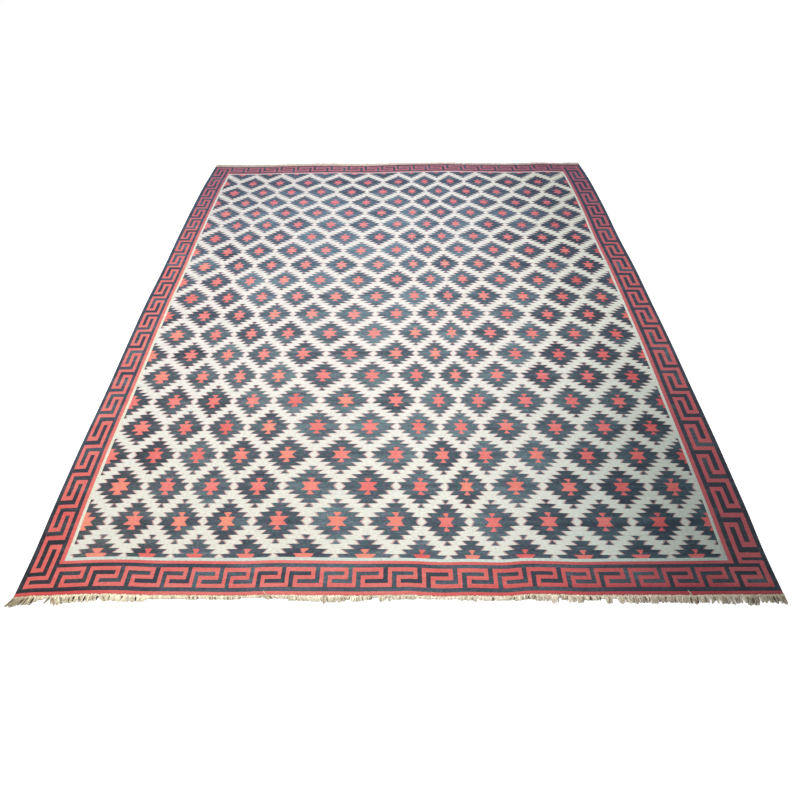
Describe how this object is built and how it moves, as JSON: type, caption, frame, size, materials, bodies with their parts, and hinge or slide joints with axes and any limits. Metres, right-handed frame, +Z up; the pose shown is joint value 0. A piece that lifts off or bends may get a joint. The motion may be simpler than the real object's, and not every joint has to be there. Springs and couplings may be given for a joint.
{
  "type": "dhurrie rug",
  "caption": "Flat-woven cotton dhurrie rug lying flat, with serrated diamonds in the field, a key border and warp-end fringe on both short ends.",
  "frame": {"origin": "on the floor under the middle of the whole rug with its fringes", "axes": "+X to the right across the rug, +Y along the rug from the near end to the far end, +Z up"},
  "size_m": [2.5112, 3.1542, 0.0088],
  "materials": {
    "woven_cotton": "weft-faced flat weave in navy, coral red and pale cream cotton, matt with a faint sheen",
    "fringe_cotton": "undyed cotton warp ends, matt, twisted and worn"
  },
  "bodies": {
    "root": {"rug": "woven_cotton", "fringe_near": "fringe_cotton", "fringe_far": "fringe_cotton"}
  },
  "joints": []
}
